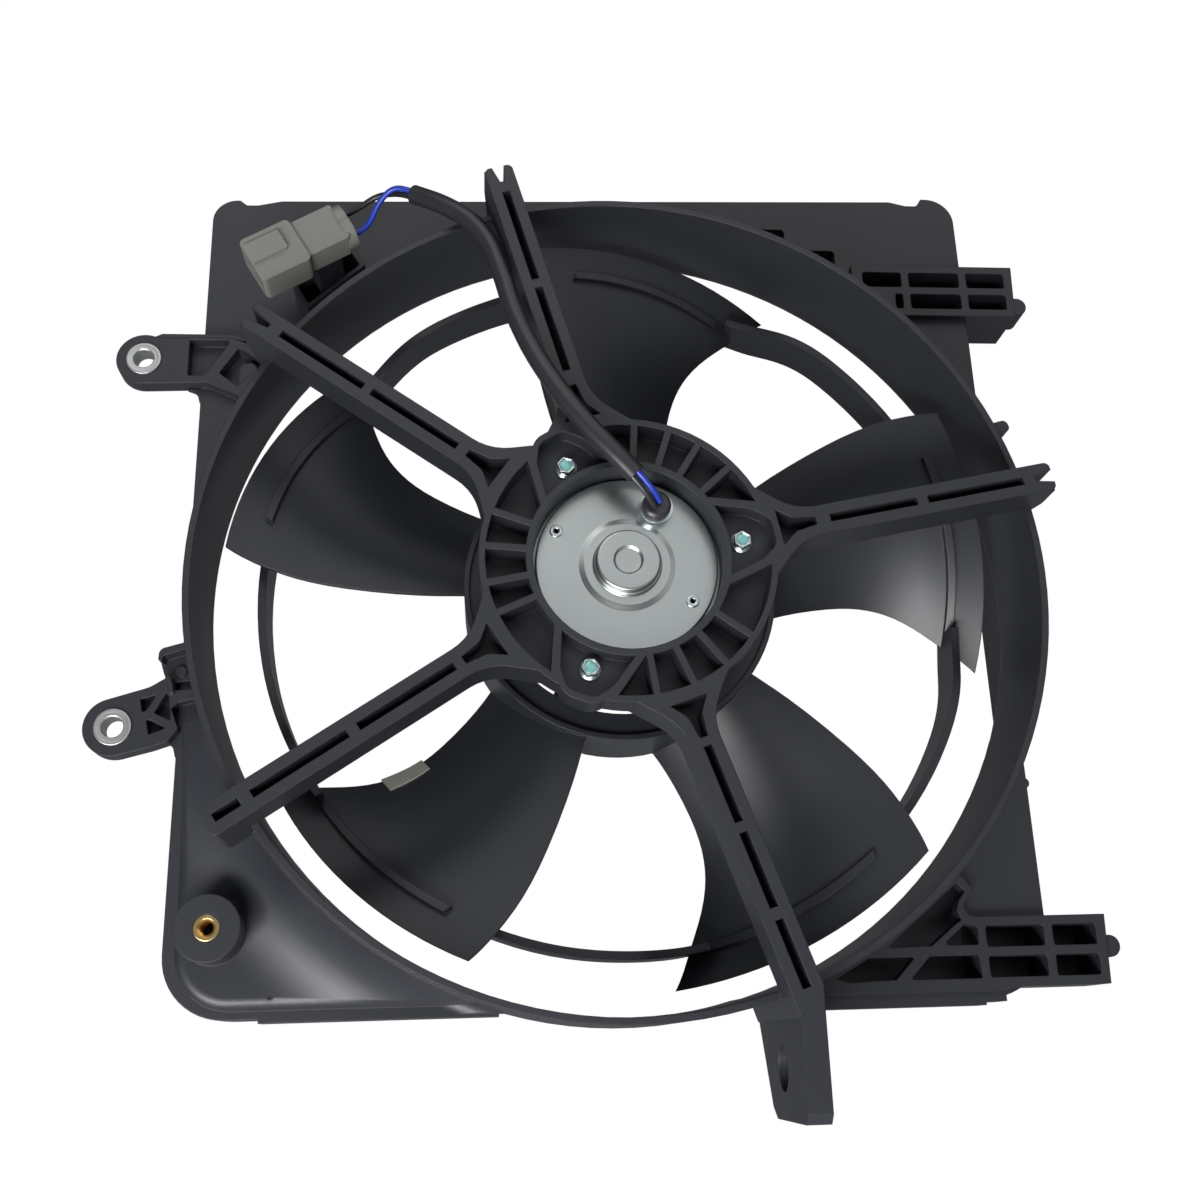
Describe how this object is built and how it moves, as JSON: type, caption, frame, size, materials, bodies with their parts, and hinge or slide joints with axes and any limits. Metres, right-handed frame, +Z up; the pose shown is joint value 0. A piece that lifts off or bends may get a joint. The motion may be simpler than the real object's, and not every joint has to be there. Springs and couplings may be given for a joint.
{
  "type": "radiator cooling fan",
  "caption": "Electric radiator cooling fan: swept-blade fan on a motor held by ribbed arms in a moulded square shroud with fixing tabs, locating tongues and a plug-ended lead.",
  "frame": {"origin": "on the fan's axis, in the plane of the skirt face that meets the radiator", "axes": "+Z up as fitted, +Y from the motor side towards the radiator along the fan's axis, +X to the right seen from the motor side"},
  "size_m": [0.4182, 0.0997, 0.4162],
  "materials": {
    "shroud_plastic": "fine matt",
    "fan_plastic": "satin matt",
    "sleeve_aluminium": "turned",
    "insert_brass": "bright knurled",
    "motor_steel": "zinc plated",
    "screw_zinc": "zinc plated",
    "bearing_bronze": "sintered",
    "shaft_steel": "ground",
    "magnet_ferrite": "ground",
    "core_steel": "laminated",
    "winding_copper": "enamelled",
    "brush_carbon": "matt",
    "card_plastic": "matt",
    "lead_rubber": "matt",
    "blue_wire": "smooth",
    "black_wire": "smooth",
    "connector_plastic": "fine matt",
    "seal_rubber": "smooth",
    "terminal_brass": "tin plated",
    "clip_steel": "zinc plated"
  },
  "bodies": {
    "housing": {"shroud": "shroud_plastic", "upper_sleeve": "sleeve_aluminium", "lower_sleeve": "sleeve_aluminium", "threaded_insert": "insert_brass", "motor_can": "motor_steel", "motor_end_plate": "motor_steel", "motor_flange": "motor_steel", "weld_nuts": "screw_zinc", "motor_screws": "screw_zinc", "plate_rivets": "screw_zinc", "front_bearing": "bearing_bronze", "rear_bearing": "bearing_bronze", "motor_magnets": "magnet_ferrite", "brush_holder": "card_plastic", "brushes": "brush_carbon", "brush_springs": "shaft_steel", "lead_collar": "screw_zinc", "lead_grommet": "lead_rubber", "blue_wire": "blue_wire", "black_wire": "black_wire", "lead_sleeving": "lead_rubber", "connector_housing": "connector_plastic", "connector_seals": "seal_rubber", "connector_terminals": "terminal_brass"},
    "rotor": {"motor_shaft": "shaft_steel", "armature_core": "core_steel", "armature_winding": "winding_copper", "commutator": "winding_copper", "fan_wheel": "fan_plastic", "fan_washer": "screw_zinc", "fan_nut": "screw_zinc", "balance_clip": "clip_steel"}
  },
  "joints": [
    {"name": "fan_spin", "type": "hinge", "parent": "housing", "child": "rotor", "pos_m": [0, -0.045, 0], "axis": [0, 1, 0], "continuous": true}
  ]
}
